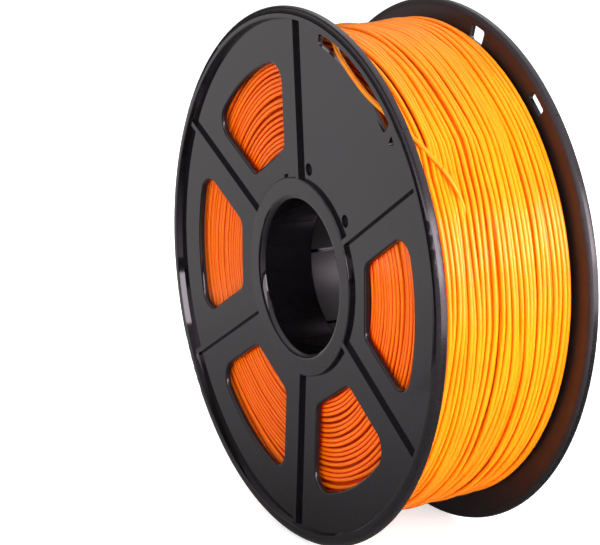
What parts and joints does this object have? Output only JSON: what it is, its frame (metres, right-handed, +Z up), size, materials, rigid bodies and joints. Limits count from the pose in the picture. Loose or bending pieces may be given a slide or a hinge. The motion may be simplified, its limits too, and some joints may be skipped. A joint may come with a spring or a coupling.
{
  "type": "filament spool",
  "caption": "Black plastic spool with ribbed, windowed flanges and a smooth hub bore, wound with orange printer filament whose free end is held in a rim slot",
  "frame": {"origin": "on the spool's axis, midway between the outer faces of the two rims", "axes": "+Y runs along the axis from the front flange to the rear flange, +Z is up with the slot at the upper right seen from the front, +X is to the right seen from the front"},
  "size_m": [0.2, 0.0666, 0.2],
  "materials": {
    "black_plastic": "glossy injection-moulded polystyrene, faintly warm black",
    "orange_filament": "smooth, slightly translucent filament with soft highlights"
  },
  "bodies": {
    "root": {"front_spool_half": "black_plastic", "rear_spool_half": "black_plastic", "winding_core": "orange_filament", "winding_outer_turns": "orange_filament", "filament_tail": "orange_filament"}
  },
  "joints": []
}
